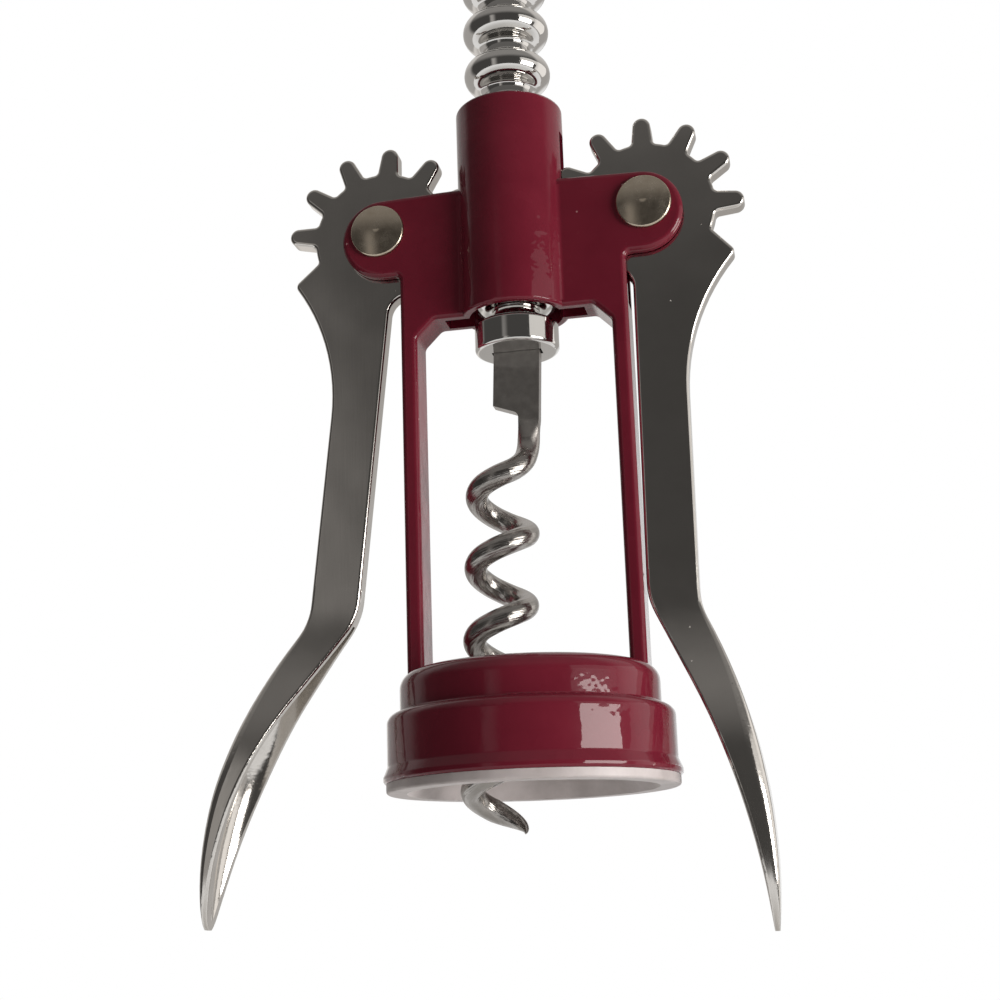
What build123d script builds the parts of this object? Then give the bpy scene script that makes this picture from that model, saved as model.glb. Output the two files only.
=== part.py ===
from build123d import *
from math import cos, degrees, pi, radians, sin, sqrt, tan
import os

os.makedirs("parts", exist_ok=True)

# Double-lever wing corkscrew, in millimetres.
# The origin is at the middle of the bell's mouth, in the plane that sits on a bottle, +Z runs up
# the tube's axis, +X points at the right-hand lever and -Y is the front.

# Clearances between pieces
shaft_clearance = 0.05
seat_clearance = 0.03
lever_side_clearance = 0.25
gear_slot_clearance = 0.65
rack_bore_clearance = 0.35
insert_clearance = 0.12
tang_clearance = 0.1
end_clearance = 0.05

# Bell of the frame casting
rim_overhang = 0.6
rim_height = 0.9
rim_flare_height = 1.4
rim_round = 0.55
bell_radius = 20.4
bell_shoulder_height = 11.05
bell_shoulder_round = 1.5
bell_step_width = 1.9
bell_top_height = 16.95
bell_top_round = 2.5
bell_crease_round = 0.7
bell_wall = 1.3
bell_roof = 2.6
bell_hole_clearance = 1.0

# Plastic neck insert
insert_flange_inset = 0.4
insert_flange_height = 1.35
insert_flange_round = 0.4
insert_wall = 1.78
neck_lead_in = 2.4
neck_lead_depth = 3.0
insert_floor = 1.6
insert_ledge = 3.7

# Tube, web, ears and legs of the frame casting
tube_radius = 8.2
tube_top_height = 103.75
tube_bottom_drop = 14.9
tube_edge_round = 0.5
tube_slot_top_gap = 4.6
frame_depth = 6.7
frame_edge_round = 0.8
seam_round = 0.8
gusset_round = 1.2
ear_corner_round = 0.8
leg_width = 2.5
leg_inset = 1.3
leg_foot_depth = 2.0
gusset = 2.7
web_top_rise = 5.9
ear_radius = 6.3
ear_drop = 1.0
ear_inset = 0.6
web_slot_reach = 10.6

# Lever pivots and the gear that drives the rack
pivot_reach = 20.4
pivot_height = 85.15
full_turn = 360
teeth_per_turn = 12
tooth_count = 8
engaged_tooth = 6
tooth_tip_reach = 5.7
tooth_height = 4.2
tooth_end_share = 0.182
tooth_foot_share = 0.25
gear_root_round = 0.75
root_tolerance = 0.01
rack_lowering = 0.75

# Levers: each of the two hangs with its own splay, bend and rise of the tip
left_splay = 6.5
right_splay = -0.6
left_bend = 32.0
right_bend = 25.5
left_tip_rise = 10.95
right_tip_rise = 8.25
lever_thickness = 3.0
lever_edge_round = 0.5
shank_leg_gap = 0.87
shank_width = 7.4
shoulder_out = 13.1
shoulder_drop = 8.1
shoulder_round = 1.0
shoulder_valley_angle = 24.0
neck_round = 3.0
neck_drop = 29.0
bend_above_bell = 8.9
grip_top_rise = 4.3
outer_bend_lag = 1.2
bend_round = 10.0
bend_run = 11.2
grip_run = 45.7
grip_half_width = 6.2
grip_wall = 1.2
grip_floor = 0.9
grip_round = 1.8
grip_flare_lead = 1.8
grip_flare_length = 30.0
grip_taper_length = 30.0
grip_tip_depth = 0.7
grip_tip_round = 0.2
channel_lag = 1.2
channel_round = 3.0
channel_share = 0.8
grip_sections = 30
corner_share = 0.4

# Rivets
rivet_radius = 2.0
rivet_pin_radius = 1.2
rivet_head_radius = 4.15
rivet_rim = 0.6
rivet_dome = 0.7
rivet_edge_round = 0.35
rivet_pin_length = 4.5

# Beaded rack sleeve
bead_outer_radius = 6.7
bead_share = 0.324
pitch_line_depth = 0.433
rack_root_radius = 3.6
rack_root_round = 0.9
upper_bead_count = 7
lower_bead_count = 2
sleeve_end_length = 1.8

# Spindle with its end collar
rod_radius = 2.5
collar_radius = 6.3
collar_height = 4.4
collar_round = 0.6

# Worm with its flat tang
wire_radius = 1.65
helix_radius = 3.8
helix_pitch = 10.65
helix_turns = 5
worm_lean = 2.6
tang_width = 6.9
tang_thickness = 2.0
tang_seat = 4.0
tang_drop = 8.4
tang_slant = 1.2
stem_drop = 13.5
stem_blend = 3.0
stem_width = 3.1
stem_round = 0.9
helix_drop = 17.2
helix_lead_in = 70
point_angle = 110
point_radius = 0.12
point_fullness = 1.3
point_sections = 4
gap_step = 10

# Cap-lifter handle
boss_radius = 6.2
boss_height = 7.5
handle_thickness = 5.0
handle_radius = 16.5
handle_rise = 21.0
handle_edge_round = 1.2
handle_neck_width = 9.6
handle_neck_round = 6.0
lifter_width = 20.0
lifter_height = 15.0
lifter_round = 6.0
lifter_lip_width = 9.0
lifter_lip_depth = 3.0
boss_roof = 0.9
boss_round = 0.6
handle_pin_radius = 1.1
handle_pin_recess = 0.3

# Heights and radii that follow from the driving dimensions
rim_radius = bell_radius + rim_overhang
bell_step_radius = bell_radius - bell_step_width
insert_flange_radius = rim_radius - insert_flange_inset
leg_outer_reach = bell_step_radius - leg_inset
leg_inner_reach = leg_outer_reach - leg_width
shank_inner = leg_outer_reach + shank_leg_gap - pivot_reach
shank_outer = shank_inner + shank_width
bend_drop = pivot_height - bell_top_height - bend_above_bell
outer_bend_drop = bend_drop + outer_bend_lag
grip_top_drop = bend_drop - grip_top_rise
grip_flare_drop = bend_drop - grip_flare_lead
channel_top_drop = bend_drop + channel_lag
grip_length = bend_drop + grip_run
tube_bottom_height = pivot_height - tube_bottom_drop
web_top_height = pivot_height + web_top_rise
tooth_tip_radius = pivot_reach - tooth_tip_reach
pitch_radius = pivot_reach - bead_outer_radius + pitch_line_depth
gear_root_radius = tooth_tip_radius - tooth_height
rack_pitch = 2 * pi * pitch_radius / teeth_per_turn
tooth_end_radius = tooth_end_share * rack_pitch
tooth_foot_radius = tooth_foot_share * rack_pitch
bead_radius = bead_share * rack_pitch
tube_bore_radius = bead_outer_radius + rack_bore_clearance
plate_half_gap = lever_thickness / 2 + lever_side_clearance
frame_front = frame_depth / 2
gear_slot_radius = tooth_tip_radius + gear_slot_clearance
tooth_step = full_turn / teeth_per_turn
mesh_splay = (left_splay + right_splay) / 2
first_tooth_angle = 180 - mesh_splay + degrees(rack_lowering / pitch_radius) - engaged_tooth * tooth_step
rim_top = insert_flange_height + rim_height
cavity_radius = bell_radius - bell_wall
upper_cavity_radius = bell_step_radius - bell_wall
neck_radius = upper_cavity_radius - insert_clearance - insert_wall
insert_hole_radius = neck_radius - insert_ledge
bell_hole_radius = insert_hole_radius + bell_hole_clearance
cavity_shoulder = bell_shoulder_height - bell_wall
cavity_top = bell_top_height - bell_roof
first_bead = pivot_height - rack_lowering - rack_pitch / 2 - rack_pitch * (lower_bead_count - 1)
bead_count = lower_bead_count + upper_bead_count
bead_heights = [first_bead + rack_pitch * k for k in range(bead_count)]
sleeve_bottom = bead_heights[0] - bead_radius - sleeve_end_length
sleeve_top = bead_heights[-1] + bead_radius + sleeve_end_length
collar_top = sleeve_bottom - end_clearance
collar_bottom = collar_top - collar_height
boss_bottom = sleeve_top + end_clearance
tang_side_room = tang_clearance + tang_seat * sin(radians(worm_lean))
tang_end_room = tang_clearance + tang_width / 2 * sin(radians(worm_lean))
stem_reach = tang_width / 2 - wire_radius
stem_bottom = collar_bottom - stem_drop
helix_top = collar_bottom - helix_drop
quarter_turn = full_turn // 4
helix_end = full_turn * helix_turns - point_angle
rod_socket_top = boss_bottom + boss_height - boss_roof
rod_top = rod_socket_top - seat_clearance
handle_pin_height = (boss_bottom + rod_socket_top) / 2
handle_centre = boss_bottom + boss_height + handle_rise


def round_corner(sketch, x, y, radius):
    """Round the corner of a sketch that lies at x, y."""
    fillet(sketch.vertices().sort_by_distance((x, y))[0], radius)


# Frame casting: bell, two legs, web with gussets, ear plates and the rack tube in one piece
with BuildPart() as frame_casting:
    with BuildSketch(Plane.XZ) as side_view:
        with Locations((0, tube_bottom_height)):
            Rectangle(leg_outer_reach, pivot_height - tube_bottom_height, align=(Align.MIN, Align.MIN))
        with BuildLine():
            Polyline(
                (0, web_top_height),
                (pivot_reach - ear_inset, pivot_height - ear_drop + ear_radius),
                (pivot_reach - ear_inset, pivot_height - ear_drop - ear_radius),
                (0, pivot_height - ear_drop - ear_radius),
                close=True,
            )
        make_face()
        with Locations((pivot_reach - ear_inset, pivot_height - ear_drop)):
            Circle(ear_radius)
        with Locations((leg_inner_reach, bell_top_height - leg_foot_depth)):
            Rectangle(leg_width, pivot_height - bell_top_height, align=(Align.MIN, Align.MIN))
        with BuildLine():
            Polyline(
                (leg_inner_reach, tube_bottom_height - gusset),
                (leg_inner_reach, tube_bottom_height),
                (leg_inner_reach - gusset, tube_bottom_height),
                close=True,
            )
        make_face()
        round_corner(side_view, leg_inner_reach, tube_bottom_height - gusset, gusset_round)
        round_corner(side_view, leg_inner_reach - gusset, tube_bottom_height, gusset_round)
        round_corner(side_view, leg_outer_reach, pivot_height - ear_drop - ear_radius, ear_corner_round)
        mirror(about=Plane.YZ)
    extrude(amount=frame_front, both=True)
    faces = frame_casting.faces().filter_by(Axis.Y)
    rims = faces.sort_by(Axis.Y)[0].edges() + faces.sort_by(Axis.Y)[-1].edges()
    fillet(rims.filter_by(lambda e: e.center().Z > bell_top_height - leg_foot_depth / 2), frame_edge_round)

    # Bell, turned about the axis
    with BuildSketch(Plane.XZ) as bell_profile:
        with BuildLine():
            Polyline(
                (cavity_radius, insert_flange_height),
                (rim_radius, insert_flange_height),
                (rim_radius, rim_top),
                (bell_radius, rim_top + rim_flare_height),
                (bell_radius, bell_shoulder_height),
                (bell_step_radius, bell_shoulder_height),
                (bell_step_radius, bell_top_height),
                (bell_hole_radius, bell_top_height),
                (bell_hole_radius, cavity_top),
                (upper_cavity_radius, cavity_top),
                (upper_cavity_radius, cavity_shoulder),
                (cavity_radius, cavity_shoulder),
                close=True,
            )
        make_face()
        round_corner(bell_profile, rim_radius, insert_flange_height, rim_round)
        round_corner(bell_profile, rim_radius, rim_top, rim_round)
        round_corner(bell_profile, bell_radius, rim_top + rim_flare_height, bell_crease_round)
        round_corner(bell_profile, bell_radius, bell_shoulder_height, bell_shoulder_round)
        round_corner(bell_profile, bell_step_radius, bell_shoulder_height, bell_crease_round / 2)
        round_corner(bell_profile, bell_step_radius, bell_top_height, bell_top_round)
    revolve(axis=Axis.Z)

    # Rack tube with rounded ends
    with BuildSketch(Plane.XZ) as tube_profile:
        with Locations((0, tube_bottom_height)):
            Rectangle(tube_radius, tube_top_height - tube_bottom_height, align=(Align.MIN, Align.MIN))
        round_corner(tube_profile, tube_radius, tube_bottom_height, tube_edge_round)
        round_corner(tube_profile, tube_radius, tube_top_height, tube_edge_round)
    revolve(axis=Axis.Z)

    # Rounded seams between the tube and the web
    seam_reach = sqrt(tube_radius**2 - frame_front**2)
    seam_bottom = tube_bottom_height + frame_edge_round
    seam_top = pivot_height - ear_drop + ear_radius - frame_edge_round
    with BuildSketch(Plane.XY.offset(seam_bottom)) as seam_section:
        Circle(tube_radius)
        Rectangle(2 * (seam_reach + 2 * seam_round), frame_depth)
        for x in (-seam_reach, seam_reach):
            for y in (-frame_front, frame_front):
                round_corner(seam_section, x, y, seam_round)
    extrude(amount=seam_top - seam_bottom)

    # Bore for the rack
    with BuildSketch(Plane.XY.offset(tube_bottom_height)):
        Circle(tube_bore_radius)
    extrude(amount=sleeve_top - tube_bottom_height, mode=Mode.SUBTRACT)

    # Slot for the gears between the ear plates and through both sides of the tube
    with BuildSketch(Plane.XZ):
        with Locations((pivot_reach, pivot_height), (-pivot_reach, pivot_height)):
            Circle(gear_slot_radius)
        with Locations((0, tube_bottom_height)):
            Rectangle(
                2 * (tube_radius + frame_edge_round),
                tube_top_height - tube_slot_top_gap - tube_bottom_height,
                align=(Align.CENTER, Align.MIN),
            )
            Rectangle(2 * web_slot_reach, gear_slot_clearance + gusset, align=(Align.CENTER, Align.MIN))
    extrude(amount=plate_half_gap, both=True, mode=Mode.SUBTRACT)

    # Rivet holes
    with BuildSketch(Plane.XZ):
        with Locations((pivot_reach, pivot_height), (-pivot_reach, pivot_height)):
            Circle(rivet_radius + seat_clearance)
    extrude(amount=frame_depth, both=True, mode=Mode.SUBTRACT)
frame_casting.part.label = "frame_casting"
export_step(frame_casting.part, "parts/frame_casting.step")


# Plastic insert that centres the bottle neck under the worm
with BuildPart() as neck_insert:
    barrel_radius = cavity_radius - insert_clearance
    insert_top = cavity_top - insert_clearance
    with BuildSketch(Plane.XZ) as insert_profile:
        with BuildLine():
            Polyline(
                (neck_radius + neck_lead_in, 0),
                (insert_flange_radius, 0),
                (insert_flange_radius, insert_flange_height),
                (barrel_radius, insert_flange_height),
                (barrel_radius, cavity_shoulder - insert_clearance),
                (upper_cavity_radius - insert_clearance, cavity_shoulder - insert_clearance),
                (upper_cavity_radius - insert_clearance, insert_top),
                (insert_hole_radius, insert_top),
                (insert_hole_radius, insert_top - insert_floor),
                (neck_radius, insert_top - insert_floor),
                (neck_radius, neck_lead_depth),
                close=True,
            )
        make_face()
        round_corner(insert_profile, insert_flange_radius, 0, insert_flange_round)
    revolve(axis=Axis.Z)
neck_insert.part.label = "neck_insert"
export_step(neck_insert.part, "parts/neck_insert.step")


# One gear tooth, a finger that narrows to a round end
with BuildSketch() as tooth:
    with Locations((gear_root_radius - tooth_foot_radius, 0)):
        Circle(tooth_foot_radius)
    with Locations((tooth_tip_radius - tooth_end_radius, 0)):
        Circle(tooth_end_radius)
    make_hull()


def bent_edge(edge, drop, knee_drop, bend, run, tip_out):
    """How far out a grip edge lies at a drop: straight, round the bend, a straight run, an arc to the tip."""
    knee_start = knee_drop - bend_round * tan(bend / 2)
    knee_end = knee_start + bend_round * sin(bend)
    run_end = knee_end + run * cos(bend)
    if drop < knee_start:
        return edge
    if drop < knee_end:
        return edge + bend_round - sqrt(bend_round**2 - (drop - knee_start) ** 2)
    if drop < run_end:
        return edge + (drop - knee_drop) * tan(bend)
    arc_out = edge + (run_end - knee_drop) * tan(bend)
    rise = tip_out - arc_out
    fall = grip_length - run_end
    radius = (rise**2 + fall**2) / (2 * (fall * sin(bend) - rise * cos(bend)))
    centre_out = arc_out - radius * cos(bend)
    centre_drop = run_end + radius * sin(bend)
    return centre_out + sqrt(radius**2 - (drop - centre_drop) ** 2)


def grip_size(drop, bend, tip_out):
    """Inner edge, outer edge, half width and share of the flare of a grip at a drop below its pivot."""
    inner = bent_edge(shank_inner, drop, bend_drop, bend, bend_run, tip_out - grip_tip_depth)
    outer = bent_edge(shank_outer, drop, outer_bend_drop, bend, 0, tip_out)
    part_way = min(max((drop - grip_flare_drop) / grip_flare_length, 0), 1)
    flare = part_way**2 * (3 - 2 * part_way)
    half = lever_thickness / 2 + (grip_half_width - lever_thickness / 2) * flare
    into_tip = max(drop - grip_length + grip_taper_length, 0) / (grip_taper_length + grip_tip_round)
    return inner, outer, half * sqrt(1 - into_tip**2), flare


def spread(start, end):
    """Drops of a grip's sections, closer together towards both ends."""
    return [start + (end - start) * (1 - cos(pi * k / grip_sections)) / 2 for k in range(grip_sections + 1)]


def build_lever(side, splay, bend_angle, tip_rise):
    """One lever, made where it hangs: a toothed plate that runs into a channel-shaped grip."""
    turn = radians(splay)
    bend = radians(bend_angle)
    tip_out = shank_outer + tip_rise
    pivot = (side * pivot_reach, 0, pivot_height)
    plate_plane = Plane(pivot, x_dir=(side * cos(turn), 0, sin(turn)), z_dir=(0, -side, 0))

    def section_plane(drop):
        return Plane(plate_plane.from_local_coords((0, -drop, 0)), plate_plane.x_dir, plate_plane.y_dir)

    # Outer form of the grip, through sections that grow from the plate's own
    with BuildPart() as grip:
        for drop in spread(grip_top_drop, grip_length):
            inner, outer, half, flare = grip_size(drop, bend, tip_out)
            outer_round = lever_edge_round + (grip_round - lever_edge_round) * flare
            with BuildSketch(section_plane(drop)) as section:
                with Locations(((inner + outer) / 2, 0)):
                    Rectangle(outer - inner, 2 * half)
                thin_side = min(outer - inner, half)
                fillet(section.vertices().sort_by(Axis.X)[-2:], min(outer_round, thin_side * corner_share))
                fillet(section.vertices().sort_by(Axis.X)[:2], min(lever_edge_round, thin_side * corner_share))
        loft()

    # Channel in its inner side, with a rounded floor
    with BuildPart() as channel:
        for drop in spread(channel_top_drop, grip_length - grip_wall):
            inner, outer, half, flare = grip_size(drop, bend, tip_out)
            with BuildSketch(section_plane(drop)) as section:
                with Locations((outer - grip_floor, 0)):
                    Rectangle(grip_half_width, 2 * (half - grip_wall), align=(Align.MAX, Align.CENTER))
                floor_round = min(channel_round, (half - grip_wall) * channel_share)
                fillet(section.vertices().sort_by(Axis.X)[-2:], floor_round)
        loft()

    # Toothed head and shank
    with BuildPart() as lever:
        with BuildSketch(plate_plane) as plate:
            with BuildLine():
                Polyline((shank_inner, 0), (shank_inner, -grip_top_drop), (shank_outer, -grip_top_drop))
                Line((shank_outer, -grip_top_drop), (shank_outer, -neck_drop))
                TangentArc((shank_outer, -neck_drop), (shoulder_out, -shoulder_drop), tangent=(0, 1))
                valley = radians(shoulder_valley_angle)
                valley_bottom = (gear_root_radius * cos(valley), -gear_root_radius * sin(valley))
                Polyline((shoulder_out, -shoulder_drop), valley_bottom, (shank_inner, 0))
            make_face()
            round_corner(plate, shoulder_out, -shoulder_drop, shoulder_round)
            Circle(gear_root_radius)
            with PolarLocations(0, tooth_count, first_tooth_angle, (tooth_count - 1) * tooth_step, endpoint=True):
                add(tooth.sketch)
            on_root = plate.vertices().filter_by(lambda v: abs(v.center().length - gear_root_radius) < root_tolerance)
            fillet(on_root.sort_by_distance((shank_inner, -gear_root_radius))[1:], gear_root_round)
            round_corner(plate, shank_inner, -gear_root_radius, neck_round)
        extrude(amount=lever_thickness / 2, both=True)
        rims = lever.faces().filter_by(Axis.Y).edges()
        end_height = plate_plane.from_local_coords((0, -grip_top_drop, 0)).Z
        fillet(rims.filter_by(lambda e: e.center().Z > end_height + lever_thickness), lever_edge_round)
        add(grip.part)
        add(channel.part, mode=Mode.SUBTRACT)
        with BuildSketch(plate_plane):
            Circle(rivet_radius + shaft_clearance)
        extrude(amount=lever_thickness, both=True, mode=Mode.SUBTRACT)
    return lever.part


left_lever = build_lever(-1, left_splay, left_bend, left_tip_rise)
left_lever.label = "left_lever"
export_step(left_lever, "parts/left_lever.step")
right_lever = build_lever(1, right_splay, right_bend, right_tip_rise)
right_lever.label = "right_lever"
export_step(right_lever, "parts/right_lever.step")


# Beaded rack sleeve that the gears drive up and down
with BuildPart() as rack_sleeve:
    sleeve_length = sleeve_top - sleeve_bottom
    with BuildSketch(Plane.XZ) as bead_profile:
        with Locations((0, sleeve_bottom)):
            Rectangle(rack_root_radius, sleeve_length, align=(Align.MIN, Align.MIN))
        with Locations([(bead_outer_radius - bead_radius, height) for height in bead_heights]):
            Circle(bead_radius)
        in_valley = bead_profile.vertices().filter_by(
            lambda v: abs(v.X - rack_root_radius) < root_tolerance and bead_heights[0] < v.Y < bead_heights[-1]
        )
        fillet(in_valley, rack_root_round)
        with Locations((0, sleeve_bottom)):
            Rectangle(rod_radius + shaft_clearance, sleeve_length, align=(Align.MIN, Align.MIN), mode=Mode.SUBTRACT)
    revolve(axis=Axis.Z)
rack_sleeve.part.label = "rack_sleeve"
export_step(rack_sleeve.part, "parts/rack_sleeve.step")


# Spindle: a rod through the sleeve with an end collar that is slotted for the worm's tang
with BuildPart() as spindle:
    with BuildSketch(Plane.XZ) as spindle_profile:
        with Locations((0, collar_bottom)):
            Rectangle(collar_radius, collar_height, align=(Align.MIN, Align.MIN))
        round_corner(spindle_profile, collar_radius, collar_bottom, collar_round)
        round_corner(spindle_profile, collar_radius, collar_top, collar_round)
        with Locations((0, collar_bottom)):
            Rectangle(rod_radius, rod_top - collar_bottom, align=(Align.MIN, Align.MIN))
    revolve(axis=Axis.Z)
    with BuildSketch(Plane.XY.offset(collar_bottom)):
        Rectangle(tang_width + 2 * tang_side_room, tang_thickness + 2 * tang_clearance)
    extrude(amount=tang_seat + tang_end_room, mode=Mode.SUBTRACT)
    with BuildSketch(Plane.XZ):
        with Locations((0, handle_pin_height)):
            Circle(handle_pin_radius + seat_clearance)
    extrude(amount=rod_radius, both=True, mode=Mode.SUBTRACT)
spindle.part.label = "spindle"
export_step(spindle.part, "parts/spindle.step")


def helix_point(angle):
    """Place and direction of the worm's centre line, by degrees of turn below its stem."""
    turn = radians(angle)
    place = Vector(
        stem_reach - helix_radius + helix_radius * cos(turn),
        -helix_radius * sin(turn),
        helix_top - helix_pitch * angle / full_turn,
    )
    heading = Vector(-helix_radius * sin(turn), -helix_radius * cos(turn), -helix_pitch / (2 * pi))
    return place, heading.normalized()


def arc_joint(start, start_heading, end, end_heading):
    """Point where the two arcs that lead from start to end meet in line."""
    chord = end - start
    along = chord.dot(start_heading + end_heading)
    bend = 2 * (1 - start_heading.dot(end_heading))
    reach = (sqrt(along**2 + bend * chord.dot(chord)) - along) / bend
    return (start + end + (start_heading - end_heading) * reach) * 0.5


# Worm: a flat tang, a stem that turns round and a wire helix that is ground to a point
with BuildPart() as worm:
    with BuildSketch(Plane.XZ) as tang:
        with BuildLine():
            Polyline(
                (-tang_width / 2, collar_bottom + tang_seat),
                (tang_width / 2, collar_bottom + tang_seat),
                (tang_width / 2, stem_bottom + stem_blend),
                (tang_width / 2 - stem_width, stem_bottom + stem_blend),
                (tang_width / 2 - stem_width, collar_bottom - tang_drop - tang_slant),
                (-tang_width / 2, collar_bottom - tang_drop),
                close=True,
            )
        make_face()
        round_corner(tang, tang_width / 2 - stem_width, collar_bottom - tang_drop - tang_slant, stem_round)
    extrude(amount=tang_thickness / 2, both=True)

    # The stem goes from its flat section to the round wire
    with BuildSketch(Plane.XY.offset(stem_bottom + stem_blend)):
        with Locations((tang_width / 2, 0)):
            Rectangle(stem_width, tang_thickness, align=(Align.MAX, Align.CENTER))
    with BuildSketch(Plane.XY.offset(stem_bottom)):
        with Locations((stem_reach, 0)):
            Circle(wire_radius)
    loft()

    # The wire follows the helix on pairs of tangent arcs, a quarter turn at a time
    stations = [(Vector(stem_reach, 0, stem_bottom), Vector(0, 0, -1))]
    stations += [helix_point(angle) for angle in range(helix_lead_in, helix_end, quarter_turn)]
    stations += [helix_point(helix_end)]
    with BuildLine() as centre_line:
        for (start, heading), (end, end_heading) in zip(stations, stations[1:]):
            middle = arc_joint(start, heading, end, end_heading)
            first_arc = TangentArc(start, middle, tangent=heading)
            TangentArc(middle, end, tangent=first_arc % 1)
    with BuildSketch(Plane(stations[0][0], z_dir=stations[0][1])):
        Circle(wire_radius)
    sweep(path=centre_line.line)

    # Ground point
    for k in range(point_sections + 1):
        share = k / point_sections
        place, heading = helix_point(helix_end + share * point_angle)
        with BuildSketch(Plane(place, z_dir=heading)):
            Circle(wire_radius + (point_radius - wire_radius) * share**point_fullness)
    loft()
leaning_worm = worm.part.rotate(Axis((0, 0, collar_bottom), (0, 1, 0)), worm_lean)
leaning_worm.label = "worm"
export_step(leaning_worm, "parts/worm.step")

# Least gap of the wire to itself, on points of the centre line half a turn or more apart
half_turn = 2 * quarter_turn
angles = range(0, helix_end, gap_step)
spans = [
    (helix_point(low)[0] - helix_point(high)[0]).length
    for low in angles
    for high in angles
    if high - low >= half_turn
]
print(f"least gap of the worm to itself {min(spans) - 2 * wire_radius:.2f} mm")


# Two-part rivets: the front half is tubular and takes the pin of the back half
for name, reach in (("left", -pivot_reach), ("right", pivot_reach)):
    for end, facing in (("front", -1), ("back", 1)):
        with BuildPart() as rivet:
            with BuildSketch(Plane((reach, 0, pivot_height), (1, 0, 0), (0, 0, facing))) as head_profile:
                with BuildLine():
                    pole = (0, frame_front + rivet_rim + rivet_dome)
                    shoulder = (rivet_head_radius, frame_front + rivet_rim)
                    TangentArc(pole, shoulder, tangent=(1, 0))
                    Polyline(shoulder, (rivet_head_radius, frame_front), (0, frame_front), pole)
                make_face()
                round_corner(head_profile, rivet_head_radius, frame_front + rivet_rim, rivet_edge_round)
                if end == "front":
                    with Locations((0, seat_clearance - frame_front)):
                        Rectangle(rivet_radius, frame_depth - seat_clearance, align=(Align.MIN, Align.MIN))
                        Rectangle(
                            rivet_pin_radius + seat_clearance,
                            rivet_pin_length,
                            align=(Align.MIN, Align.MIN),
                            mode=Mode.SUBTRACT,
                        )
                else:
                    with Locations((0, frame_front)):
                        Rectangle(rivet_pin_radius, rivet_pin_length, align=(Align.MIN, Align.MAX))
            revolve(axis=Axis((reach, 0, pivot_height), (0, 1, 0)))
        rivet.part.label = f"{name}_rivet_{end}"
        export_step(rivet.part, f"parts/{name}_rivet_{end}.step")


# Cap-lifter handle: a flat head with a crown-cap opening on a round boss
with BuildPart() as cap_lifter:
    with BuildSketch(Plane.XZ) as head:
        neck_bottom = boss_bottom + boss_height
        with Locations((0, neck_bottom)):
            Rectangle(handle_neck_width, handle_centre - neck_bottom, align=(Align.CENTER, Align.MIN))
        with Locations((0, handle_centre)):
            Circle(handle_radius)
        for side in (-1, 1):
            round_corner(head, side * handle_neck_width / 2, handle_centre - handle_radius, handle_neck_round)
    extrude(amount=handle_thickness / 2, both=True)
    rims = cap_lifter.faces().filter_by(Axis.Y).edges()
    fillet(rims.filter_by(lambda e: e.center().Z > neck_bottom), handle_edge_round)
    with BuildSketch(Plane.XZ) as opening:
        with Locations((0, handle_centre)):
            RectangleRounded(lifter_width, lifter_height, lifter_round)
        with Locations((0, handle_centre - lifter_height / 2)):
            Rectangle(lifter_lip_width, lifter_lip_depth, align=(Align.CENTER, Align.MIN), mode=Mode.SUBTRACT)
    extrude(amount=handle_thickness, both=True, mode=Mode.SUBTRACT)
    with BuildSketch(Plane.XZ) as boss_profile:
        with Locations((0, boss_bottom)):
            Rectangle(boss_radius, boss_height + boss_roof, align=(Align.MIN, Align.MIN))
        round_corner(boss_profile, boss_radius, boss_bottom, boss_round)
        round_corner(boss_profile, boss_radius, boss_bottom + boss_height + boss_roof, boss_round)
        with Locations((0, boss_bottom)):
            socket_depth = rod_socket_top - boss_bottom
            Rectangle(rod_radius + seat_clearance, socket_depth, align=(Align.MIN, Align.MIN), mode=Mode.SUBTRACT)
    revolve(axis=Axis.Z)
    with BuildSketch(Plane.XZ):
        with Locations((0, handle_pin_height)):
            Circle(handle_pin_radius + seat_clearance)
    extrude(amount=boss_radius, both=True, mode=Mode.SUBTRACT)
cap_lifter.part.label = "cap_lifter"
export_step(cap_lifter.part, "parts/cap_lifter.step")


# Cross pin that holds the handle on the spindle
with BuildPart() as handle_pin:
    with BuildSketch(Plane.XZ):
        with Locations((0, handle_pin_height)):
            Circle(handle_pin_radius)
    extrude(amount=boss_radius - handle_pin_recess, both=True)
handle_pin.part.label = "handle_pin"
export_step(handle_pin.part, "parts/handle_pin.step")
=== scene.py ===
import math

import bpy
from mathutils import Matrix, Vector


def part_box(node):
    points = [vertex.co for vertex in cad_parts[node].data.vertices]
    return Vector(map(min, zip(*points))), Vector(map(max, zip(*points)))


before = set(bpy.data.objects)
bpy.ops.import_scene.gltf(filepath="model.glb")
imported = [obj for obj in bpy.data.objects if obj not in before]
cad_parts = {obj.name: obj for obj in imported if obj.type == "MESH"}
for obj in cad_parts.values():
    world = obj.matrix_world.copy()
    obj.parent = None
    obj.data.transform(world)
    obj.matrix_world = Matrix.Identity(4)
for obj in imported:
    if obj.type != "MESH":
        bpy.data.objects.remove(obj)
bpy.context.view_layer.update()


# Frame casting: bell, legs, web, ears and rack tube in one zinc die casting.
# It is dipped in burgundy enamel that is baked on, so its skin is glossy, thick and a little wavy.
def linear(hex_colour):
    """An sRGB hex colour as linear red, green, blue and alpha."""
    channels = [int(hex_colour[i:i + 2], 16) / 255 for i in (1, 3, 5)]
    return [c / 12.92 if c <= 0.04045 else ((c + 0.055) / 1.055) ** 2.4 for c in channels] + [1.0]


def add_node(tree, kind, links=None, sockets=None, **settings):
    """Add a node, set its fields and its sockets, and link output sockets to its inputs."""
    node = tree.nodes.new(kind)
    for field, value in settings.items():
        setattr(node, field, value)
    for socket, value in (sockets or {}).items():
        node.inputs[socket].default_value = value
    for socket, source in (links or {}).items():
        tree.links.new(source, node.inputs[socket])
    return node


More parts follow.
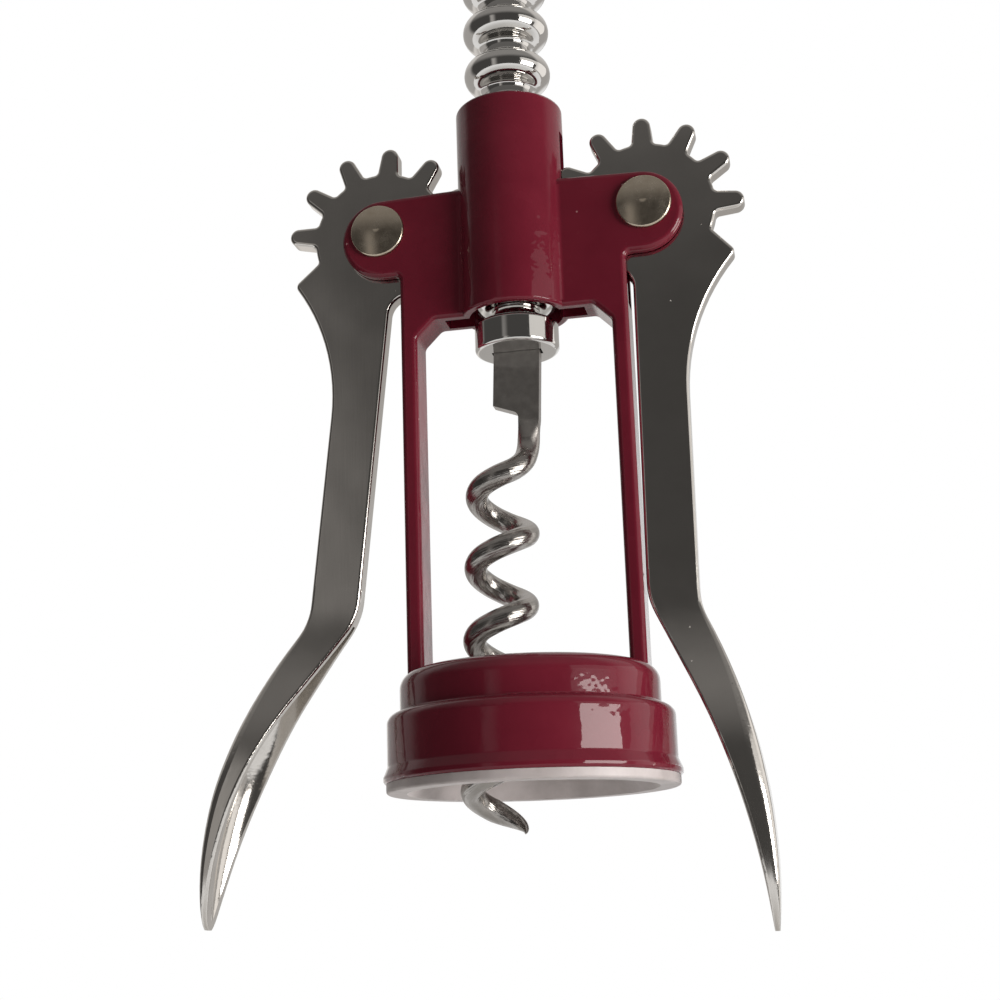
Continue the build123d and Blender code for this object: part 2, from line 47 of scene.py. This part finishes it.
def start_material(name):
    """A named material with an empty node tree and its object coordinates."""
    material = bpy.data.materials.new(name)
    material.use_nodes = True
    material.node_tree.nodes.clear()
    place = add_node(material.node_tree, "ShaderNodeTexCoord").outputs["Object"]
    return material, material.node_tree, place


def coat_nodes(material, *names):
    """Put a material in the slots of CAD nodes."""
    for name in names:
        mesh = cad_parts[name].data
        mesh.materials.clear()
        mesh.materials.append(material)


# A pattern's scale is per metre, so one with features of a size in mm has the scale per_mm / size.
per_mm = 1000.0
speck_core = 0.03
speck_edge = 0.06
speck_rarity = 0.8


def dust_specks(tree, place, apart):
    """Round specks of dust, in cells of a size in mm, where a cell's own draw is above the rarity."""
    cells = add_node(tree, "ShaderNodeTexVoronoi", {"Vector": place}, {"Scale": per_mm / apart})
    speck = add_node(
        tree,
        "ShaderNodeMapRange",
        {"Value": cells.outputs["Distance"]},
        {"From Min": speck_core, "From Max": speck_edge, "To Min": 1.0, "To Max": 0.0},
    )
    draw = add_node(tree, "ShaderNodeSeparateColor", {"Color": cells.outputs["Color"]})
    rare = add_node(
        tree, "ShaderNodeMath", {0: draw.outputs["Red"]}, {1: speck_rarity}, operation="GREATER_THAN"
    )
    dusty = add_node(
        tree,
        "ShaderNodeMath",
        {0: speck.outputs["Result"], 1: rare.outputs["Value"]},
        operation="MULTIPLY",
    )
    return dusty.outputs["Value"]


# Baked enamel: a red that is uneven by a shade, waves a few millimetres long that bend the
# reflections, and specks of dust under the skin.
enamel_shade_mm = 9.0
enamel_wave_mm = 2.8
enamel_wave_height = 0.0003
enamel_speck_mm = 3.6
# A mix node's colour sockets are taken by number, because their names repeat.
mix_colour_a = 6
mix_colour_b = 7
mix_colour_out = 2
enamel, tree, place = start_material("baked_burgundy_enamel")
shade = add_node(
    tree,
    "ShaderNodeTexNoise",
    {"Vector": place},
    {"Scale": per_mm / enamel_shade_mm, "Detail": 3.0, "Roughness": 0.55},
)
enamel_red = add_node(tree, "ShaderNodeValToRGB", {"Fac": shade.outputs["Fac"]})
enamel_red.color_ramp.elements[0].position = 0.3
enamel_red.color_ramp.elements[0].color = linear("#701C2D")
enamel_red.color_ramp.elements[1].position = 0.7
enamel_red.color_ramp.elements[1].color = linear("#7A2233")
dusted_red = add_node(
    tree,
    "ShaderNodeMix",
    {"Factor": dust_specks(tree, place, enamel_speck_mm), mix_colour_a: enamel_red.outputs["Color"]},
    {mix_colour_b: linear("#C79A9C")},
    data_type="RGBA",
)
gloss = add_node(
    tree,
    "ShaderNodeMapRange",
    {"Value": shade.outputs["Fac"]},
    {"From Min": 0.3, "From Max": 0.7, "To Min": 0.22, "To Max": 0.32},
)
waves = add_node(
    tree,
    "ShaderNodeTexNoise",
    {"Vector": place},
    {"Scale": per_mm / enamel_wave_mm, "Detail": 2.0, "Roughness": 0.5},
)
wavy = add_node(
    tree,
    "ShaderNodeBump",
    {"Height": waves.outputs["Fac"]},
    {"Strength": 0.17, "Distance": enamel_wave_height},
)
skin = add_node(
    tree,
    "ShaderNodeBsdfPrincipled",
    {
        "Base Color": dusted_red.outputs[mix_colour_out],
        "Roughness": gloss.outputs["Result"],
        "Normal": wavy.outputs["Normal"],
        "Coat Normal": wavy.outputs["Normal"],
    },
    {
        "IOR": 1.5,
        "Specular IOR Level": 0.05,
        "Coat Weight": 1.0,
        "Coat Roughness": 0.03,
        "Coat IOR": 1.37,
    },
)
add_node(tree, "ShaderNodeOutputMaterial", {"Surface": skin.outputs["BSDF"]})
coat_nodes(enamel, "frame_casting")


# Neck insert: a moulded polypropylene cup that is pressed into the bell and centres the bottle.
# It shows as a pale rim under the bell, dulled by handling and by a fine moulding grain, which is
# finer on the real cup and drawn at half a millimetre so that it shows.
insert_grime_mm = 6.0
insert_grain_mm = 0.5
insert_grain_height = 0.00005
insert_light_depth = (0.001, 0.0009, 0.0008)
insert_plastic, tree, place = start_material("moulded_off_white_polypropylene")
grime = add_node(
    tree,
    "ShaderNodeTexNoise",
    {"Vector": place},
    {"Scale": per_mm / insert_grime_mm, "Detail": 5.0, "Roughness": 0.6},
)
plastic_white = add_node(tree, "ShaderNodeValToRGB", {"Fac": grime.outputs["Fac"]})
plastic_white.color_ramp.elements[0].position = 0.25
plastic_white.color_ramp.elements[0].color = linear("#BDB4B3")
plastic_white.color_ramp.elements[1].position = 0.65
plastic_white.color_ramp.elements[1].color = linear("#DAD1D1")
grain = add_node(
    tree, "ShaderNodeTexNoise", {"Vector": place}, {"Scale": per_mm / insert_grain_mm, "Detail": 2.0}
)
grained = add_node(
    tree,
    "ShaderNodeBump",
    {"Height": grain.outputs["Fac"]},
    {"Strength": 0.15, "Distance": insert_grain_height},
)
cup = add_node(
    tree,
    "ShaderNodeBsdfPrincipled",
    {"Base Color": plastic_white.outputs["Color"], "Normal": grained.outputs["Normal"]},
    {
        "Roughness": 0.42,
        "IOR": 1.49,
        "Subsurface Weight": 0.08,
        "Subsurface Radius": insert_light_depth,
    },
)
add_node(tree, "ShaderNodeOutputMaterial", {"Surface": cup.outputs["BSDF"]})
coat_nodes(insert_plastic, "neck_insert")


# Levers: zinc castings, each with its gear, shank and channel grip in one, chrome plated.
# The plate follows the casting's soft waves, and handling leaves hairlines, dull patches and dust.
# Real hairlines are finer, and are drawn at about a third of a millimetre so that they show.
lever_patch_mm = 7.0
lever_swell_mm = 11.0
lever_swell_height = 0.0003
lever_speck_mm = 2.6
hairline_mm = 0.35
hairline_depth = 0.00002
hairline_slant = 0.35
hairline_squeeze = 0.06
lever_chrome, tree, place = start_material("chrome_plate_on_cast_zinc")
handled = add_node(
    tree,
    "ShaderNodeTexNoise",
    {"Vector": place},
    {"Scale": per_mm / lever_patch_mm, "Detail": 4.0, "Roughness": 0.6},
)
chrome_grey = add_node(tree, "ShaderNodeValToRGB", {"Fac": handled.outputs["Fac"]})
chrome_grey.color_ramp.elements[0].position = 0.3
chrome_grey.color_ramp.elements[0].color = linear("#CDC9C4")
chrome_grey.color_ramp.elements[1].position = 0.7
chrome_grey.color_ramp.elements[1].color = linear("#D3CFCA")
dull = add_node(
    tree,
    "ShaderNodeMapRange",
    {"Value": handled.outputs["Fac"]},
    {"From Min": 0.35, "From Max": 0.7, "To Min": 0.06, "To Max": 0.1},
)
# The grips' plate is rubbed a little duller by hands than the gears and shanks above them.
grip_low = 0.02
grip_high = 0.065
height = add_node(tree, "ShaderNodeSeparateXYZ", {"Vector": place})
held = add_node(
    tree,
    "ShaderNodeMapRange",
    {"Value": height.outputs["Z"]},
    {"From Min": grip_high, "From Max": grip_low, "To Min": 0.0, "To Max": 0.08},
    interpolation_type="SMOOTHSTEP",
)
worn_dull = add_node(
    tree, "ShaderNodeMath", {0: dull.outputs["Result"], 1: held.outputs["Result"]}, operation="ADD"
)
swell = add_node(
    tree,
    "ShaderNodeTexNoise",
    {"Vector": place},
    {"Scale": per_mm / lever_swell_mm, "Detail": 1.0, "Roughness": 0.4},
)
swollen = add_node(
    tree,
    "ShaderNodeBump",
    {"Height": swell.outputs["Fac"]},
    {"Strength": 0.32, "Distance": lever_swell_height},
)
hairline_lie = add_node(
    tree,
    "ShaderNodeMapping",
    {"Vector": place},
    {"Rotation": (0.0, hairline_slant, 0.0), "Scale": (1.0, 1.0, hairline_squeeze)},
)
hairline = add_node(
    tree,
    "ShaderNodeTexNoise",
    {"Vector": hairline_lie.outputs["Vector"]},
    {"Scale": per_mm / hairline_mm, "Detail": 2.0},
)
scratched = add_node(
    tree,
    "ShaderNodeBump",
    {"Height": hairline.outputs["Fac"], "Normal": swollen.outputs["Normal"]},
    {"Strength": 0.05, "Distance": hairline_depth},
)
# A speck of dust isn't metal, so it shows as a dull dot on the plate.
clean = add_node(
    tree,
    "ShaderNodeMath",
    {1: dust_specks(tree, place, lever_speck_mm)},
    {0: 1.0},
    operation="SUBTRACT",
)
plate = add_node(
    tree,
    "ShaderNodeBsdfPrincipled",
    {
        "Base Color": chrome_grey.outputs["Color"],
        "Metallic": clean.outputs["Value"],
        "Roughness": worn_dull.outputs["Value"],
        "Normal": scratched.outputs["Normal"],
    },
)
add_node(tree, "ShaderNodeOutputMaterial", {"Surface": plate.outputs["BSDF"]})
coat_nodes(lever_chrome, "left_lever", "right_lever")


# Rack sleeve, spindle and cap lifter: turned and cast pieces, polished before they are plated.
# Fine turning rings run round the axis and break the reflections into soft bands. Real rings are
# finer, and are drawn at about a third of a millimetre so that they show.
turned_rub_mm = 4.0
turning_ring_mm = 0.3
turning_ring_depth = 0.00002
turning_ring_squeeze = 0.05
turned_chrome, tree, place = start_material("chrome_plate_on_turned_steel")
rub = add_node(
    tree,
    "ShaderNodeTexNoise",
    {"Vector": place},
    {"Scale": per_mm / turned_rub_mm, "Detail": 4.0, "Roughness": 0.6},
)
turned_dull = add_node(
    tree,
    "ShaderNodeMapRange",
    {"Value": rub.outputs["Fac"]},
    {"From Min": 0.35, "From Max": 0.7, "To Min": 0.05, "To Max": 0.1},
)
rings_lie = add_node(
    tree,
    "ShaderNodeMapping",
    {"Vector": place},
    {"Scale": (turning_ring_squeeze, turning_ring_squeeze, 1.0)},
)
rings = add_node(
    tree,
    "ShaderNodeTexNoise",
    {"Vector": rings_lie.outputs["Vector"]},
    {"Scale": per_mm / turning_ring_mm, "Detail": 2.0},
)
ringed = add_node(
    tree,
    "ShaderNodeBump",
    {"Height": rings.outputs["Fac"]},
    {"Strength": 0.06, "Distance": turning_ring_depth},
)
turned = add_node(
    tree,
    "ShaderNodeBsdfPrincipled",
    {"Roughness": turned_dull.outputs["Result"], "Normal": ringed.outputs["Normal"]},
    {"Base Color": linear("#D3D1CE"), "Metallic": 1.0},
)
add_node(tree, "ShaderNodeOutputMaterial", {"Surface": turned.outputs["BSDF"]})
coat_nodes(turned_chrome, "rack_sleeve", "spindle", "cap_lifter")


# Rivets: tubular front halves and pinned back halves, pressed together through ears and levers.
# Their heads are stamped steel with warm satin nickel, rubbed in all directions.
nickel_rub_mm = 1.5
nickel_rub_depth = 0.00005
rivet_nickel, tree, place = start_material("satin_nickel_plate")
rubbed = add_node(
    tree,
    "ShaderNodeTexNoise",
    {"Vector": place},
    {"Scale": per_mm / nickel_rub_mm, "Detail": 6.0, "Roughness": 0.65},
)
nickel_tone = add_node(tree, "ShaderNodeValToRGB", {"Fac": rubbed.outputs["Fac"]})
nickel_tone.color_ramp.elements[0].position = 0.3
nickel_tone.color_ramp.elements[0].color = linear("#B9AC9A")
nickel_tone.color_ramp.elements[1].position = 0.7
nickel_tone.color_ramp.elements[1].color = linear("#CDC1B0")
nickel_dull = add_node(
    tree,
    "ShaderNodeMapRange",
    {"Value": rubbed.outputs["Fac"]},
    {"From Min": 0.3, "From Max": 0.7, "To Min": 0.18, "To Max": 0.3},
)
stamped = add_node(
    tree,
    "ShaderNodeBump",
    {"Height": rubbed.outputs["Fac"]},
    {"Strength": 0.08, "Distance": nickel_rub_depth},
)
head = add_node(
    tree,
    "ShaderNodeBsdfPrincipled",
    {
        "Base Color": nickel_tone.outputs["Color"],
        "Roughness": nickel_dull.outputs["Result"],
        "Normal": stamped.outputs["Normal"],
    },
    {"Metallic": 1.0},
)
add_node(tree, "ShaderNodeOutputMaterial", {"Surface": head.outputs["BSDF"]})
coat_nodes(rivet_nickel, "left_rivet_front", "left_rivet_back", "right_rivet_front", "right_rivet_back")


# Worm and handle pin: drawn carbon steel wire, flattened to a tang, wound and ground to a point.
# Polishing leaves it darker than the plated pieces, with draw marks that follow the wound wire.
worm_lean = math.radians(2.6)
worm_axis = -0.002
worm_pitch = 0.01065
worm_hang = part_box("spindle")[0][2]
tang_and_stem = 0.0172
wire_top = worm_hang - tang_and_stem
steel_fleck_mm = 1.2
steel_pit_depth = 0.00005
worm_steel, tree, place = start_material("polished_drawn_steel")
drawn = add_node(
    tree,
    "ShaderNodeTexNoise",
    {"Vector": place},
    {"Scale": per_mm / steel_fleck_mm, "Detail": 5.0, "Roughness": 0.65},
)
steel_tone = add_node(tree, "ShaderNodeValToRGB", {"Fac": drawn.outputs["Fac"]})
steel_tone.color_ramp.elements[0].position = 0.3
steel_tone.color_ramp.elements[0].color = linear("#9E9A96")
steel_tone.color_ramp.elements[1].position = 0.7
steel_tone.color_ramp.elements[1].color = linear("#AEAAA6")
steel_dull = add_node(
    tree,
    "ShaderNodeMapRange",
    {"Value": drawn.outputs["Fac"]},
    {"From Min": 0.3, "From Max": 0.7, "To Min": 0.18, "To Max": 0.26},
)
pitted = add_node(
    tree,
    "ShaderNodeBump",
    {"Height": drawn.outputs["Fac"]},
    {"Strength": 0.1, "Distance": steel_pit_depth},
)
# Draw marks: noise on the wire's own section, which is the distance from the worm's axis and the
# height less the climb of the turns. The real marks are finer and drawn at 0.4 mm so that they show.
draw_mark_mm = 0.4
draw_mark_depth = 0.00015
draw_mark_drift = 0.0003
marks_from = wire_top + 0.003
marks_full = wire_top - 0.001
upright = add_node(
    tree,
    "ShaderNodeMapping",
    {"Vector": place},
    {
        "Location": (worm_hang * math.sin(worm_lean) - worm_axis, 0.0, 0.0),
        "Rotation": (0.0, -worm_lean, 0.0),
    },
)
spot = add_node(tree, "ShaderNodeSeparateXYZ", {"Vector": upright.outputs["Vector"]})
forward = add_node(tree, "ShaderNodeMath", {0: spot.outputs["Y"]}, {1: -1.0}, operation="MULTIPLY")
turn = add_node(
    tree, "ShaderNodeMath", {0: spot.outputs["X"], 1: forward.outputs["Value"]}, operation="ARCTAN2"
)
climb = add_node(
    tree,
    "ShaderNodeMath",
    {0: turn.outputs["Value"], 2: spot.outputs["Z"]},
    {1: -worm_pitch / (2 * math.pi)},
    operation="MULTIPLY_ADD",
)
level_place = add_node(
    tree,
    "ShaderNodeVectorMath",
    {0: upright.outputs["Vector"]},
    {1: (1.0, 1.0, 0.0)},
    operation="MULTIPLY",
)
reach = add_node(tree, "ShaderNodeVectorMath", {0: level_place.outputs["Vector"]}, operation="LENGTH")
run = add_node(
    tree, "ShaderNodeMath", {0: turn.outputs["Value"]}, {1: draw_mark_drift}, operation="MULTIPLY"
)
section = add_node(
    tree,
    "ShaderNodeCombineXYZ",
    {"X": reach.outputs["Value"], "Y": climb.outputs["Value"], "Z": run.outputs["Value"]},
)
draw_marks = add_node(
    tree,
    "ShaderNodeTexNoise",
    {"Vector": section.outputs["Vector"]},
    {"Scale": per_mm / draw_mark_mm, "Detail": 3.0},
)
wound = add_node(
    tree,
    "ShaderNodeMapRange",
    {"Value": spot.outputs["Z"]},
    {"From Min": marks_from, "From Max": marks_full, "To Min": 0.0, "To Max": 0.8},
)
marked = add_node(
    tree,
    "ShaderNodeBump",
    {
        "Height": draw_marks.outputs["Fac"],
        "Normal": pitted.outputs["Normal"],
        "Strength": wound.outputs["Result"],
    },
    {"Distance": draw_mark_depth},
)
# The tang is pressed flat above the wire, which leaves it duller.
tang_low = wire_top + 0.004
pressed = add_node(
    tree,
    "ShaderNodeMapRange",
    {"Value": spot.outputs["Z"]},
    {"From Min": wire_top, "From Max": tang_low, "To Min": 0.0, "To Max": 0.16},
)
pressed_dull = add_node(
    tree,
    "ShaderNodeMath",
    {0: steel_dull.outputs["Result"], 1: pressed.outputs["Result"]},
    operation="ADD",
)
wire = add_node(
    tree,
    "ShaderNodeBsdfPrincipled",
    {
        "Base Color": steel_tone.outputs["Color"],
        "Roughness": pressed_dull.outputs["Value"],
        "Normal": marked.outputs["Normal"],
    },
    {"Metallic": 1.0},
)
add_node(tree, "ShaderNodeOutputMaterial", {"Surface": wire.outputs["BSDF"]})
coat_nodes(worm_steel, "worm", "handle_pin")


# Floor: a pale round of paper far under the tool, which fades into the white background.
# It takes the tool's shadow, and its edge shines white only where it is seen or mirrored.
floor_height = -0.7
floor_radius = 1.5
floor_sides = 96
fade_from = 0.3 * floor_radius
fade_to = 0.95 * floor_radius
paper_cloud_mm = 25.0
bpy.ops.mesh.primitive_circle_add(
    vertices=floor_sides, radius=floor_radius, fill_type="NGON", location=(0, 0, 0)
)
floor = bpy.context.object
floor.name = "floor"
floor.data.transform(Matrix.Translation((0, 0, floor_height)))
paper, tree, place = start_material("white_paper")
cloud = add_node(
    tree, "ShaderNodeTexNoise", {"Vector": place}, {"Scale": per_mm / paper_cloud_mm, "Detail": 4.0}
)
paper_white = add_node(tree, "ShaderNodeValToRGB", {"Fac": cloud.outputs["Fac"]})
paper_white.color_ramp.elements[0].color = linear("#DFDFDD")
paper_white.color_ramp.elements[1].color = linear("#E8E8E6")
matt = add_node(tree, "ShaderNodeBsdfDiffuse", {"Color": paper_white.outputs["Color"]})
glow = add_node(tree, "ShaderNodeEmission", None, {"Color": linear("#FFFFFF"), "Strength": 1.0})
from_tool = add_node(tree, "ShaderNodeVectorMath", {0: place}, operation="LENGTH")
fade = add_node(
    tree,
    "ShaderNodeMapRange",
    {"Value": from_tool.outputs["Value"]},
    {"From Min": fade_from, "From Max": fade_to},
    interpolation_type="SMOOTHSTEP",
)


def mirrored_rays(tree, ray):
    """One for the rays that a glossy or a clear surface sends on, and nought for the others."""
    either = add_node(
        tree,
        "ShaderNodeMath",
        {0: ray.outputs["Is Glossy Ray"], 1: ray.outputs["Is Transmission Ray"]},
        operation="MAXIMUM",
    )
    return either.outputs["Value"]


ray = add_node(tree, "ShaderNodeLightPath")
shown = add_node(
    tree,
    "ShaderNodeMath",
    {0: ray.outputs["Is Camera Ray"], 1: mirrored_rays(tree, ray)},
    operation="MAXIMUM",
)
fade_seen = add_node(
    tree,
    "ShaderNodeMath",
    {0: fade.outputs["Result"], 1: shown.outputs["Value"]},
    operation="MULTIPLY",
)
faded = add_node(
    tree,
    "ShaderNodeMixShader",
    {"Fac": fade_seen.outputs["Value"], 1: matt.outputs["BSDF"], 2: glow.outputs["Emission"]},
)
add_node(tree, "ShaderNodeOutputMaterial", {"Surface": faded.outputs["Shader"]})
floor.data.materials.append(paper)


# Surround: a white wall behind the tool, for the camera and for what the tool's skin mirrors.
# The room round it is plain: grey walls beside it, a ceiling and a dim front, where the metal also
# mirrors a pale card that stands low on the left.
world = bpy.data.worlds.new("studio")
bpy.context.scene.world = world
world.use_nodes = True
tree = world.node_tree
tree.nodes.clear()
heading = add_node(tree, "ShaderNodeTexCoord").outputs["Generated"]
toward = add_node(tree, "ShaderNodeSeparateXYZ", {"Vector": heading})
bands = {}
for name, axis, near, far, low, high in (
    ("walls", "Y", -0.05, 0.25, 0.07, 0.48),
    ("ceiling", "Z", 0.33, 0.75, 0.0, 0.24),
    ("back_wall", "Y", 0.92, 0.99, 0.0, 1.0),
    ("card_height", "Z", 0.47, 0.22, 0.0, 0.38),
    ("card_inner_edge", "X", -0.2, -0.4, 0.0, 1.0),
    ("card_outer_edge", "X", -0.52, -0.42, 0.0, 1.0),
):
    band = add_node(
        tree,
        "ShaderNodeMapRange",
        {"Value": toward.outputs[axis]},
        {"From Min": near, "From Max": far, "To Min": low, "To Max": high},
        interpolation_type="SMOOTHSTEP",
    )
    bands[name] = band.outputs["Result"]
ray = add_node(tree, "ShaderNodeLightPath")
mirrored = mirrored_rays(tree, ray)
card = mirrored
for name in ("card_height", "card_inner_edge", "card_outer_edge"):
    card = add_node(
        tree, "ShaderNodeMath", {0: card, 1: bands[name]}, operation="MULTIPLY"
    ).outputs["Value"]
level = bands["walls"]
for light in (bands["ceiling"], card):
    level = add_node(tree, "ShaderNodeMath", {0: level, 1: light}, operation="ADD").outputs["Value"]
room = add_node(tree, "ShaderNodeBackground", {"Strength": level}, {"Color": linear("#FFFBF7")})
white = add_node(tree, "ShaderNodeBackground", None, {"Color": linear("#FFFFFF")})
wall_mirrored = add_node(tree, "ShaderNodeMath", {0: bands["back_wall"], 1: mirrored}, operation="MULTIPLY")
wall_seen = add_node(
    tree,
    "ShaderNodeMath",
    {0: ray.outputs["Is Camera Ray"], 1: wall_mirrored.outputs["Value"]},
    operation="MAXIMUM",
)
seen = add_node(
    tree,
    "ShaderNodeMixShader",
    {"Fac": wall_seen.outputs["Value"], 1: room.outputs["Background"], 2: white.outputs["Background"]},
)
add_node(tree, "ShaderNodeOutputWorld", {"Surface": seen.outputs["Shader"]})


# Window: low on the right, where it gives the bell its square highlight, with a dim blind above
# it and a lit wall beside it. Each is an upright rectangular lamp that faces the tool.
window_distance = 0.8
for name, azimuth, width, bottom, top, brightness in (
    ("window", 65, 0.49, -0.24, 0.118, 9.6),
    ("window_blind", 68, 0.68, 0.118, 0.42, 0.8),
    ("window_wall", 112, 0.6, -0.24, 0.42, 0.7),
):
    lamp = bpy.data.lights.new(name, "AREA")
    lamp.shape = "RECTANGLE"
    lamp.size = width
    lamp.size_y = top - bottom
    lamp.energy = brightness * math.pi * width * (top - bottom)
    lamp.color = linear("#FFFCF8")[:3]
    lamp_object = bpy.data.objects.new(name, lamp)
    bpy.context.scene.collection.objects.link(lamp_object)
    bearing = Vector((math.sin(math.radians(azimuth)), -math.cos(math.radians(azimuth)), 0.0))
    lamp_place = bearing * window_distance + Vector((0, 0, (bottom + top) / 2))
    lamp_turn = (-bearing).to_track_quat("-Z", "Y").to_matrix().to_4x4()
    lamp_object.matrix_world = Matrix.Translation(lamp_place) @ lamp_turn


# Camera: in front, a little to the right and just below the bell, looking up at the tool.
# Its place, its turns and its lens are fitted to the photograph.
camera_data = bpy.data.cameras.new("camera")
camera = bpy.data.objects.new("camera", camera_data)
bpy.context.scene.collection.objects.link(camera)
camera_place = Vector((0.04034, -0.22984, -0.01758))
camera_yaw = -0.1882
camera_pitch = 0.2504
camera_roll = -0.0339
focal_pixels = 1648.13
picture_pixels = 1000
camera_data.sensor_width = 36.0
camera_data.lens = focal_pixels / picture_pixels * camera_data.sensor_width
camera_data.clip_start = 0.01
camera.matrix_world = (
    Matrix.Translation(camera_place)
    @ Matrix.Rotation(-camera_yaw, 4, "Z")
    @ Matrix.Rotation(math.pi / 2 + camera_pitch, 4, "X")
    @ Matrix.Rotation(camera_roll, 4, "Z")
)
bpy.context.scene.camera = camera
bpy.context.scene.view_settings.view_transform = "Standard"
